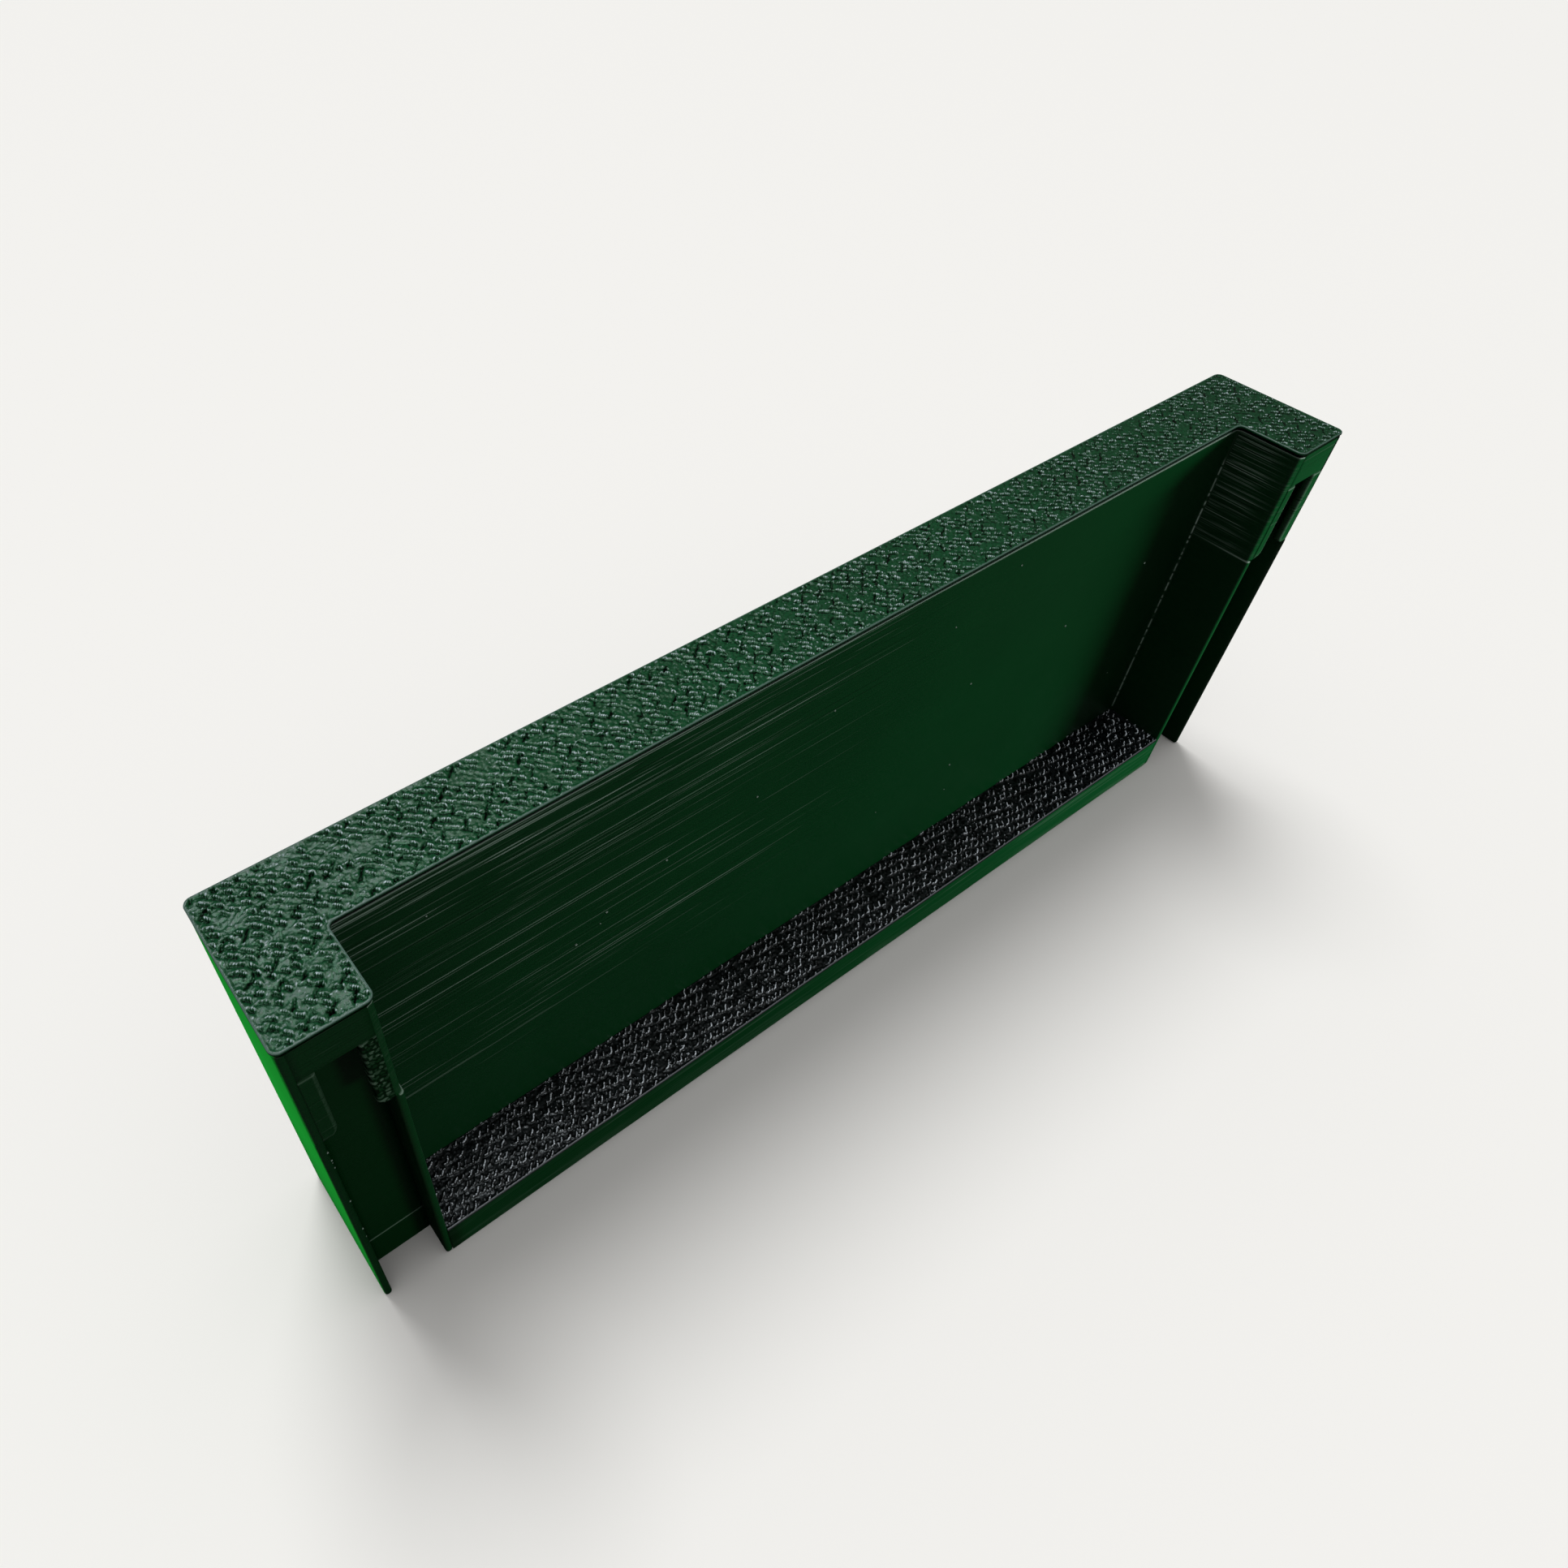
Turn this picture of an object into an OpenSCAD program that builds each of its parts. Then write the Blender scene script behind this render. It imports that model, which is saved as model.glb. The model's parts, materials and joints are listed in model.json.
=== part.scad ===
// Long shallow holder that stands on its lower edge: a hollow back, a wide open-fronted pocket over a
// thick floor, and an upright channel at each end that is closed at its top and held by two lips.
// Millimetres, +Z up, front towards -Y, origin at the middle of the lower face.

/* [Overall] */
// Length of the holder from end to end
length = 200; // [140:1:260]
// Depth of the holder from its open front to its flat back
depth = 24.6; // [22:0.1:40]
// Height of the holder from its lower edge to the grained top
height = 77.5; // [55:0.5:120]
// Radius of the upright outer corners
corner_r = 0.8; // [0.2:0.1:1]

/* [Shell] */
// Thickness of the upright walls
wall_t = 1.2; // [0.8:0.1:1.6]
// Thickness of the grained top plate
top_t = 1; // [0.6:0.1:3]
// Thickness of the plate that closes the hollow back from below
base_t = 1.2; // [0.6:0.1:3]

/* [Pocket] */
// Depth of the pocket from the front to its back wall
pocket_d = 11.9; // [10:0.1:16]
// Height of the floor block under the pocket
floor_h = 8.3; // [4:0.1:20]
// Radius of the fillet in the two upright back corners of the pocket
pocket_fillet_r = 1; // [0.2:0.1:3]
// Radius of the two long front edges of the floor block
floor_edge_r = 0.6; // [0.2:0.1:1.5]

/* [End channels] */
// Clear width of each channel between its two walls
channel_w = 9.8; // [6:0.1:16]
// Depth of each channel from the front to its back
channel_d = 5.6; // [4:0.1:8]
// Height of the lintel block that closes each channel, with the top plate
lintel_h = 7.2; // [4:0.1:12]

/* [Retaining lips] */
// How far each lip reaches into the channel mouth
lip_reach = 2.1; // [0.5:0.1:2.5]
// Thickness of each lip from front to back
lip_t = 1.2; // [0.6:0.1:2]
// Height of each lip below the lintel
lip_h = 15.1; // [6:0.1:30]
// Radius of the free lower corner of each lip
lip_corner_r = 1.5; // [0.3:0.1:2]

/* [Inner web] */
// Spacing of the folds in the zigzag web inside the hollow back
web_pitch = 11; // [6:0.5:30]
// Width of each fold where the web meets a wall
web_foot = 1.2; // [0.8:0.1:2]

/* [Hidden] */
$fn = 48;

print_green = "#0d4a22";
front_y = -depth / 2;
back_y = depth / 2;
end_x = length / 2;
// Each end column is a channel between two walls
column_w = channel_w + 2 * wall_t;
pocket_x = end_x - column_w;
outer_face_x = end_x - wall_t;
inner_face_x = pocket_x + wall_t;
pocket_y = front_y + pocket_d;
hollow_y = pocket_y + wall_t;
hollow_d = back_y - wall_t - hollow_y;
channel_y = front_y + channel_d;
wall_h = height - top_t;
lintel_z = height - lintel_h;
lip_z = lintel_z - lip_h;
upright_r = min(corner_r, 0.9 * wall_t);
lip_r = min(lip_corner_r, 0.9 * lip_reach);
// The web's folds are spread evenly from one end wall to the other, and their number is even
web_l = 2 * outer_face_x - web_foot;
web_folds = 2 * max(1, round(web_l / web_pitch / 2));
web_step = web_l / web_folds;
web_half = web_foot / 2;
web_notch = web_half * hollow_d / web_step;

// Rectangle from the origin with all four corners rounded
module rounded_rectangle(size, r) {
    translate([r, 0]) square([size[0] - 2 * r, size[1]]);
    translate([0, r]) square([size[0], size[1] - 2 * r]);
    for (x = [r, size[0] - r], y = [r, size[1] - r]) translate([x, y]) circle(r);
}

// Fills the corner at the origin, towards +x and -y, up to an arc
module corner_fillet(r) {
    difference() {
        translate([0, -r]) square(r);
        translate([r, -r]) circle(r);
    }
}

// Rectangle from the origin with only its corner at the far x and the near y rounded
module one_round_corner(size, r) {
    difference() {
        square(size);
        translate([size[0], 0]) rotate(180) corner_fillet(r);
    }
}

// Draws what stands at the right end, or its mirror image at the left end
module at_end(side) {
    if (side > 0) children();
    else mirror([1, 0, 0]) children();
}

// U-shaped plate that closes the back half and the tops of both end columns
module top_plate() {
    color(print_green) translate([0, 0, wall_h]) linear_extrude(top_t) {
        translate([-end_x, pocket_y]) rounded_rectangle([length, depth - pocket_d], upright_r);
        for (side = [-1, 1]) at_end(side) {
            translate([pocket_x, front_y]) rounded_rectangle([column_w, depth], upright_r);
            mirror([1, 0]) translate([-pocket_x, pocket_y]) corner_fillet(pocket_fillet_r);
        }
    }
}

// Flat rear wall between the two outer walls
module back_panel() {
    color(print_green)
        translate([-outer_face_x, back_y - wall_t, 0])
            cube([2 * outer_face_x, wall_t, wall_h]);
}

// Plate that closes the hollow back from below, between the walls around it
module base_plate() {
    color(print_green)
        translate([-outer_face_x, hollow_y, 0])
            cube([2 * outer_face_x, hollow_d, base_t]);
}

// Place of fold i along the length
function fold_x(i) = i * web_step - web_l / 2;

// Sparse zigzag web between the pocket's back wall and the rear wall. Each side is a row of flat feet
// on its own wall, with a notch between them. Even folds stand on the front wall, odd ones on the rear.
module zigzag_web() {
    front_foot = hollow_y;
    rear_foot = hollow_y + hollow_d;
    rear_side = [
        for (i = [1 : web_folds - 1])
            each i % 2 == 1
                ? [[fold_x(i) - web_half, rear_foot], [fold_x(i) + web_half, rear_foot]]
                : [[fold_x(i), front_foot + web_notch]]
    ];
    front_side = [
        for (i = [web_folds - 1 : -1 : 1])
            each i % 2 == 0
                ? [[fold_x(i) + web_half, front_foot], [fold_x(i) - web_half, front_foot]]
                : [[fold_x(i), rear_foot - web_notch]]
    ];
    left_foot = [[fold_x(0) + web_half, front_foot], [fold_x(0) - web_half, front_foot]];
    right_foot = [for (side = [1, -1]) [fold_x(web_folds) + side * web_half, front_foot]];
    color(print_green) translate([0, 0, base_t]) linear_extrude(wall_h - base_t)
        polygon(concat(left_foot, rear_side, right_foot, front_side));
}

// Smooth wall behind the pocket, with a fillet at each upright corner
module pocket_back_wall() {
    color(print_green) linear_extrude(wall_h) {
        translate([-pocket_x, pocket_y]) square([2 * pocket_x, wall_t]);
    }
    color(print_green) translate([0, 0, floor_h]) linear_extrude(wall_h - floor_h)
        for (side = [-1, 1]) at_end(side)
            mirror([1, 0]) translate([-pocket_x, pocket_y]) corner_fillet(pocket_fillet_r);
}

// Thick floor under the pocket, with its two long front edges rounded
module floor_block() {
    r = min(floor_edge_r, 0.4 * floor_h);
    color(print_green)
        translate([-pocket_x, 0, 0]) rotate([90, 0, 90]) linear_extrude(2 * pocket_x) {
            translate([front_y + r, 0]) square([pocket_d - r, floor_h]);
            translate([front_y, r]) square([pocket_d, floor_h - 2 * r]);
            for (z = [r, floor_h - r]) translate([front_y + r, z]) circle(r);
        }
}

// End wall over the whole depth, with its two outer upright corners rounded
module outer_wall(side) {
    color(print_green) at_end(side) linear_extrude(wall_h)
        intersection() {
            translate([end_x - column_w, front_y]) rounded_rectangle([column_w, depth], upright_r);
            translate([outer_face_x, front_y]) square([wall_t, depth]);
        }
}

// Wall between the pocket and the channel, with its front pocket corner rounded
module inner_wall(side) {
    color(print_green) at_end(side) linear_extrude(wall_h)
        mirror([1, 0]) translate([-inner_face_x, front_y])
            one_round_corner([wall_t, pocket_d + wall_t], upright_r);
}

// Block behind the channel, back to the hollow
module channel_back(side) {
    color(print_green) at_end(side)
        translate([inner_face_x, channel_y, 0])
            cube([channel_w, hollow_y - channel_y, wall_h]);
}

// Block that closes the top of the channel, flush with the front
module lintel(side) {
    color(print_green) at_end(side)
        translate([inner_face_x, front_y, lintel_z])
            cube([channel_w, channel_d, wall_h - lintel_z]);
}

// Lip from the origin towards +x, with its free lower corner rounded
module lip() {
    color(print_green) rotate([90, 0, 0]) linear_extrude(lip_t)
        one_round_corner([lip_reach, lip_h], lip_r);
}

// Lip on the outer wall, reaching towards the pocket
module outer_lip(side) {
    at_end(side) translate([outer_face_x, front_y + lip_t, lip_z]) mirror([1, 0, 0]) lip();
}

// Lip on the inner wall, reaching towards the end
module inner_lip(side) {
    at_end(side) translate([inner_face_x, front_y + lip_t, lip_z]) lip();
}

module left_outer_wall() { outer_wall(-1); }
module left_inner_wall() { inner_wall(-1); }
module left_channel_back() { channel_back(-1); }
module left_lintel() { lintel(-1); }
module left_outer_lip() { outer_lip(-1); }
module left_inner_lip() { inner_lip(-1); }
module right_outer_wall() { outer_wall(1); }
module right_inner_wall() { inner_wall(1); }
module right_channel_back() { channel_back(1); }
module right_lintel() { lintel(1); }
module right_outer_lip() { outer_lip(1); }
module right_inner_lip() { inner_lip(1); }

top_plate();
back_panel();
base_plate();
zigzag_web();
pocket_back_wall();
floor_block();
left_outer_wall();
left_inner_wall();
left_channel_back();
left_lintel();
left_outer_lip();
left_inner_lip();
right_outer_wall();
right_inner_wall();
right_channel_back();
right_lintel();
right_outer_lip();
right_inner_lip();
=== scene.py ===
import json
import math

import bpy
import numpy as np
from mathutils import Euler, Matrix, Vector
from mathutils.geometry import tessellate_polygon

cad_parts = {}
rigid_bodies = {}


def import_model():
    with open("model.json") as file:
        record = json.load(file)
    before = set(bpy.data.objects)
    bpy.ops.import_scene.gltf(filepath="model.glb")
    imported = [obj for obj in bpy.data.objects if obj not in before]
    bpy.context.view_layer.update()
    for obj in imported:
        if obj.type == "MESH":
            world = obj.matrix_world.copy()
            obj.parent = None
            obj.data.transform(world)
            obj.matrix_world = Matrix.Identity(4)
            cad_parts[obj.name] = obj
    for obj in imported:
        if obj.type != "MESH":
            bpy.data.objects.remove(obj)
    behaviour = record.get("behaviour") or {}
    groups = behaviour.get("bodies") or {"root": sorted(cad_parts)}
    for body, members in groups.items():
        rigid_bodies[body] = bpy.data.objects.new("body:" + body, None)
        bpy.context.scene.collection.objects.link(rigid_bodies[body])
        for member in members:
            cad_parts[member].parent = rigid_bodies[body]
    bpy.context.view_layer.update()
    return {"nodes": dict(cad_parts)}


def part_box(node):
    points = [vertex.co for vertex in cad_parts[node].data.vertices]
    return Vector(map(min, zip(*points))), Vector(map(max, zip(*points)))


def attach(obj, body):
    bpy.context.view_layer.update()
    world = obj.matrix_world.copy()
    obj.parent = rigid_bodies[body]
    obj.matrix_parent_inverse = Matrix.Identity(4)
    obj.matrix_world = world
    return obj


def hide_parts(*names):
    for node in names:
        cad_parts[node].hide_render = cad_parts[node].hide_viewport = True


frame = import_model()
mm = 0.001  # the builders work in millimetres, Blender in metres


def nodeBox(node):
    low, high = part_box(node)
    return np.array(low) / mm, np.array(high) / mm


# Places that the pieces share, read from the frame: x is from the middle, y from the front, z from below
plateLow, plateHigh = nodeBox("top_plate")
blockLow, blockHigh = nodeBox("floor_block")
backLow, backHigh = nodeBox("right_channel_back")
lipLow, lipHigh = nodeBox("right_inner_lip")
endX, frontY, rearY = plateHigh[0], plateLow[1], plateHigh[1]
wallTop, topZ = plateLow[2], plateHigh[2]
pocketX, pocketY, floorZ = blockHigh[0], blockHigh[1], blockHigh[2]
innerFaceX, outerFaceX = backLow[0], backHigh[0]
channelY, hollowY = backLow[1], backHigh[1]
lipZ, lipBackY = lipLow[2], lipHigh[1]
lintelZ = nodeBox("right_lintel")[0][2]
panelY = nodeBox("back_panel")[0][1]
print("frame loaded:", len(frame["nodes"]), "nodes")


# The camera. Places are in metres
viewLook = {
    "place": (-0.1041, -0.0788, 0.1840),
    "turn": (41.52, 0.61, -35.92),  # degrees, about X, Y and Z
    "lens": 25.89,  # millimetres, on a sensor 36 wide
    "shift": (0.1152, -0.0016),
}

lightLook = {
    "sky": (1.0, 0.995, 0.985),
    "skyLow": 0.05,  # strength at the horizon
    "skyHigh": 0.90,  # strength overhead
    "backdrop": 0.87,  # strength where the camera looks straight at the sky
    "sunStrength": 1.84,
    "sunTilt": (-26, 5),  # degrees from overhead, about X then Y
    "sunSize": 28,  # degrees across
}

# Softboxes that light parts of the holder and leave the floor alone. Power is in watts, size in metres,
# spread in degrees, reaches ends the names of the pieces that it lights, and glossy tells whether it shows
# in their gloss
softboxes = {
    "overhead": {
        "place": (-0.05, 0.02, 0.75),
        "target": (0, 0, 0.04),
        "power": 1.98,
        "size": 0.16,
        "spread": 180,
        "colour": (0.88, 0.95, 1.0),
        "reaches": ("topPlate", "floorTread"),
        "glossy": True,
    },
    "haze": {
        "place": (-0.071, 0.194, 0.364),
        "target": (-0.095, -0.005, 0.0775),
        "power": 0.035,
        "size": 0.10,
        "spread": 60,
        "colour": (0.70, 0.78, 1.0),
        "reaches": ("topPlate",),
        "glossy": True,
    },
    "left": {
        "place": (-0.30, 0.19, 0.06),
        "target": (-0.10, -0.010, 0.050),
        "power": 0.98,
        "size": 0.05,
        "spread": 40,
        "colour": (0.1, 1.0, 0.3),
        "reaches": ("leftOuterWall",),
        "glossy": False,
    },
    "right": {
        "place": (0.33, -0.15, 0.14),
        "target": (0.06, 0.0, 0.04),
        "power": 0.235,
        "size": 0.12,
        "spread": 40,
        "colour": (1.0, 1.0, 1.0),
        "reaches": ("pocketBackWall",),
        "glossy": False,
    },
    "fill": {
        "place": (0.05, -0.33, 0.15),
        "target": (-0.08, -0.01, 0.04),
        "power": 0.55,
        "size": 0.08,
        "spread": 180,
        "colour": (0.8, 1.0, 0.8),
        "reaches": ("floorBlock", "leftLintel", "leftInnerLip", "leftOuterLip", "leftInnerWall",
                    "leftOuterWall", "leftChannelBack"),
        "glossy": False,
    },
    "front": {
        "place": (0.17, -0.14, 0.05),
        "target": (0.09, -0.012, 0.03),
        "power": 0.32,
        "size": 0.05,
        "spread": 90,
        "colour": (1.0, 1.0, 1.0),
        "reaches": ("floorBlock", "rightLintel", "rightInnerLip", "rightOuterLip", "InnerWall"),
        "glossy": False,
    },
    "rear": {
        "place": (-0.12, 0.45, 0.22),
        "target": (0, 0.012, 0.04),
        "power": 3.5,
        "size": 0.15,
        "spread": 180,
        "colour": (1.0, 1.0, 1.0),
        "reaches": ("backPanel",),
        "glossy": False,
    },
}

floorLook = {
    "size": 12.0,
    "colour": (0.90, 0.893, 0.870),
    "glossColour": (0.03, 0.03, 0.03),
    "roughness": 0.85,
}


def aimAt(light, target):
    light.rotation_euler = (Vector(target) - light.location).to_track_quat("-Z", "Y").to_euler()


def makeCamera(look):
    data = bpy.data.cameras.new("camera")
    data.sensor_width = 36
    data.lens = look["lens"]
    data.shift_x, data.shift_y = look["shift"]
    data.clip_start, data.clip_end = 0.005, 50
    camera = bpy.data.objects.new("camera", data)
    camera.location = look["place"]
    camera.rotation_euler = Euler([math.radians(a) for a in look["turn"]])
    bpy.context.scene.collection.objects.link(camera)
    bpy.context.scene.camera = camera


def makeSoftbox(name, look):
    data = bpy.data.lights.new(name, "AREA")
    data.energy, data.size, data.color = look["power"], look["size"], look["colour"]
    data.spread = math.radians(look["spread"])
    light = bpy.data.objects.new(name, data)
    light.location = look["place"]
    aimAt(light, look["target"])
    light.visible_glossy = look["glossy"]
    reached = bpy.data.collections.new(name + "Receivers")
    for piece in bpy.context.scene.objects:
        if piece.name.endswith(look["reaches"]):
            reached.objects.link(piece)
    light.light_linking.receiver_collection = reached
    bpy.context.scene.collection.objects.link(light)


# The sky is bright overhead and dim at the horizon, and plain where the camera looks straight at it
def makeSky(look):
    world = bpy.data.worlds.new("sky")
    world.use_nodes = True
    tree = world.node_tree
    background = tree.nodes["Background"]
    background.inputs["Color"].default_value = (*look["sky"], 1)
    place = addNode(tree, "ShaderNodeTexCoord")
    split = addNode(tree, "ShaderNodeSeparateXYZ")
    square = addNode(tree, "ShaderNodeMath", operation="MULTIPLY", use_clamp=True)
    rise = addNode(tree, "ShaderNodeMapRange")
    rise.inputs["To Min"].default_value = look["skyLow"]
    rise.inputs["To Max"].default_value = look["skyHigh"]
    rays = addNode(tree, "ShaderNodeLightPath")
    choose = addNode(tree, "ShaderNodeMix")
    choose.inputs["B"].default_value = look["backdrop"]
    tree.links.new(place.outputs["Generated"], split.inputs["Vector"])
    tree.links.new(split.outputs["Z"], square.inputs[0])
    tree.links.new(split.outputs["Z"], square.inputs[1])
    tree.links.new(square.outputs["Value"], rise.inputs["Value"])
    tree.links.new(rays.outputs["Is Camera Ray"], choose.inputs["Factor"])
    tree.links.new(rise.outputs["Result"], choose.inputs["A"])
    tree.links.new(choose.outputs["Result"], background.inputs["Strength"])
    bpy.context.scene.world = world


def makeLights(look):
    makeSky(look)
    bpy.context.scene.view_settings.view_transform = "Standard"
    data = bpy.data.lights.new("sun", "SUN")
    data.energy, data.angle = look["sunStrength"], math.radians(look["sunSize"])
    sun = bpy.data.objects.new("sun", data)
    sun.rotation_euler = Euler([math.radians(a) for a in (*look["sunTilt"], 0)])
    bpy.context.scene.collection.objects.link(sun)


# A smooth rise from 0 to 1 as x goes from low to high
def smoothStep(low, high, x):
    t = np.clip((x - low) / (high - low), 0, 1)
    return t * t * (3 - 2 * t)


tableSize = 128  # the random numbers repeat after this many cells


# Value noise from 0 to 1: random numbers on a unit lattice, blended smoothly between the four nearest
def valueNoise(x, y, seed):
    table = np.random.default_rng(seed).random((tableSize, tableSize))
    i, j = np.floor(x).astype(int), np.floor(y).astype(int)
    u, v = x - i, y - j
    u, v = u * u * (3 - 2 * u), v * v * (3 - 2 * v)
    i0, i1, j0, j1 = i % tableSize, (i + 1) % tableSize, j % tableSize, (j + 1) % tableSize
    low = table[i0, j0] * (1 - u) + table[i1, j0] * u
    high = table[i0, j1] * (1 - u) + table[i1, j1] * u
    return low * (1 - v) + high * v


# Pebbles: one point jittered in each unit cell. Gives the distance to the nearest and second nearest
# point, and a random number of the nearest
def pebbles(x, y, jitter, seed):
    table = np.random.default_rng(seed).random((tableSize, tableSize, 3))
    i, j = np.floor(x).astype(int), np.floor(y).astype(int)
    first = np.full(x.shape, 9.0)
    second = np.full(x.shape, 9.0)
    owner = np.zeros(x.shape)
    for di in (-1, 0, 1):
        for dj in (-1, 0, 1):
            cell = table[(i + di) % tableSize, (j + dj) % tableSize]
            px = i + di + 0.5 + jitter * (cell[..., 0] - 0.5)
            py = j + dj + 0.5 + jitter * (cell[..., 1] - 0.5)
            far = np.hypot(x - px, y - py)
            nearer = far < first
            second = np.where(nearer, first, np.minimum(second, far))
            owner = np.where(nearer, cell[..., 2], owner)
            first = np.where(nearer, far, first)
    return first, second, owner


# The shading value of each point is above 0 where a highlight is painted on the plastic, and below 0 where
# shade is painted on it, as in a crease
def makePiece(name, points, faces, material, node, tone):
    mesh = bpy.data.meshes.new(name)
    mesh.from_pydata((np.asarray(points) * mm).tolist(), [], faces)
    mesh.polygons.foreach_set("use_smooth", np.full(len(mesh.polygons), True))
    values = mesh.attributes.new("tone", "FLOAT", "POINT").data
    values.foreach_set("value", np.asarray(tone, np.float32).ravel())
    mesh.materials.append(material)
    mesh.update()
    piece = bpy.data.objects.new(name, mesh)
    bpy.context.scene.collection.objects.link(piece)
    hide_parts(node)
    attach(piece, "root")
    print(f"  {name}: {len(mesh.vertices)} points, {len(mesh.polygons)} faces")


# Flat cap of a closed loop of points, as triangles that face up or down
def capFaces(points, first, up):
    loop = [Vector((p[0], p[1], 0)) for p in points]
    triangles = np.array(tessellate_polygon([loop]))
    a, b, c = (points[triangles[:, k], :2] for k in range(3))
    area = (b[:, 0] - a[:, 0]) * (c[:, 1] - a[:, 1]) - (b[:, 1] - a[:, 1]) * (c[:, 0] - a[:, 0])
    wrong = (area < 0) == up
    triangles[wrong] = triangles[wrong][:, ::-1]
    return (triangles[np.abs(area) > 1e-12] + first).tolist()


# Quads between neighbouring rows of a loop that runs anticlockwise seen from above, rows going down
def skirtFaces(rows, count, first=0):
    r, i = np.meshgrid(np.arange(rows - 1), np.arange(count), indexing="ij")
    n = (i + 1) % count
    quads = [r * count + i, (r + 1) * count + i, (r + 1) * count + n, r * count + n]
    return (np.stack(quads, -1).reshape(-1, 4) + first).tolist()


# The printed layers of the walls, in millimetres
layerLook = {
    "height": 0.2,
    "bead": 0.004,  # how far a layer's middle stands out past its borders
    "wander": 0.045,  # how far a badly laid layer stands out
    "reach": 26.0,  # length of a long streak along the wall
    "badShare": 0.85,  # share of layers that are laid badly
    "plainSize": 0.15,  # how far the other layers wander, as a share of the bad ones
    "fade": (0.38, 0.60),  # noise between which a streak fades in
    "ledge": (0.012, 0.102),  # step between rows that starts to show, and that shows fully
    # the next number is the strength of the painted highlight on a full ledge that faces up
    "paintedLedgeShading": 0.42,  # tone of a full ledge that faces up
    "seam": 0.16,  # how far the seam's blobs bulge
}


# Outward offset of the wall at each row and point: every layer is a shallow bead, and now and then one
# stands out or in, over a stretch of the wall that fades in and out
def layerOffset(z, x, y, strength):
    look = layerLook
    depthDown = (topZ - z) / look["height"]
    layer = np.floor(depthDown + 1e-6).astype(int)
    rng = np.random.default_rng(11)
    layerCount = 600  # more than any holder has
    kind = rng.random(layerCount)
    size = np.where(kind < look["badShare"], 1.0, look["plainSize"]) * rng.normal(0, 1, layerCount)
    along = (x + 1.7 * y) / look["reach"]
    stretch = 0.6 * valueNoise(along[None, :] + 40, layer[:, None] * 1.0, 12)
    stretch = stretch + 0.4 * valueNoise(along[None, :] * 3.7 + 9, layer[:, None] * 1.0, 13)
    bad = size[layer][:, None] * smoothStep(*look["fade"], stretch) * (0.5 + stretch)
    bead = np.where(np.abs(depthDown - np.round(depthDown)) < 0.1, -look["bead"], look["bead"])
    return bead[:, None] + look["wander"] * bad * strength


# Painted shading of a wall: a painted highlight where a row stands out past the one above it and so faces up
# to the light, and painted shade where the row is tucked in under it
def paintedLedgeShading(out):
    low, high = layerLook["ledge"]
    step = np.diff(out, axis=0, prepend=out[:1])
    full = np.clip((np.abs(step) - low) / (high - low), 0, 1)
    return full * np.where(step > 0, layerLook["paintedLedgeShading"], -1.0)


# Heights of a wall's rows, two for each layer, from the top down
def beadRows(low, high):
    halves = round((high - low) / layerLook["height"] * 2)
    return np.linspace(high, low, halves + 1)


# A loop is built from runs and corners. Each of its points has a base place, a share of the corner
# radius, an outward normal, and whether it is seen: hidden faces stay flat against their neighbours.
# seam is 1 at the middle of a hollow corner
def run(start, end, count, normal, seen, keep="both"):
    t = np.linspace(0, 1, count)[:, None]
    t = t[{"both": slice(None), "none": slice(1, -1), "start": slice(0, -1), "end": slice(1, None)}[keep]]
    base = np.array(start, float) * (1 - t) + np.array(end, float) * t
    n = len(base)
    zero = np.zeros((n, 2))
    return dict(base=base, arc=zero, which=np.zeros(n, int), normal=np.tile(np.array(normal, float), (n, 1)),
                seen=np.full(n, float(seen)), seam=np.zeros(n))


# Rounded corner from normal a to normal b. Its points lie on a quarter circle that touches both faces
def corner(place, a, b, count, which, hollow=False):
    t = np.linspace(0, math.pi / 2, count)[:, None]
    a, b = np.array(a, float), np.array(b, float)
    arc = a * (np.cos(t) - 1) + b * (np.sin(t) - 1)
    n = len(t)
    return dict(base=np.tile(np.array(place, float), (n, 1)), arc=-arc if hollow else arc,
                which=np.full(n, which), normal=a * np.cos(t) + b * np.sin(t), seen=np.ones(n),
                seam=hollow * np.exp(-((np.arange(n) - n // 2) / 0.9) ** 2))


def joinLoop(parts):
    return {k: np.concatenate([p[k] for p in parts]) for k in parts[0]}


# The same loop at the other end of the holder
def mirrored(loop):
    flip = np.array([-1.0, 1.0])
    out = {k: v[::-1] for k, v in loop.items()}
    for k in ("base", "arc", "normal"):
        out[k] = out[k] * flip
    return out


# How far a rounded edge has pulled in at a height above the edge
def edgePull(height, radius):
    t = np.clip(1 - height / radius, 0, 1)
    return radius * (1 - np.sqrt(1 - t * t))


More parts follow.
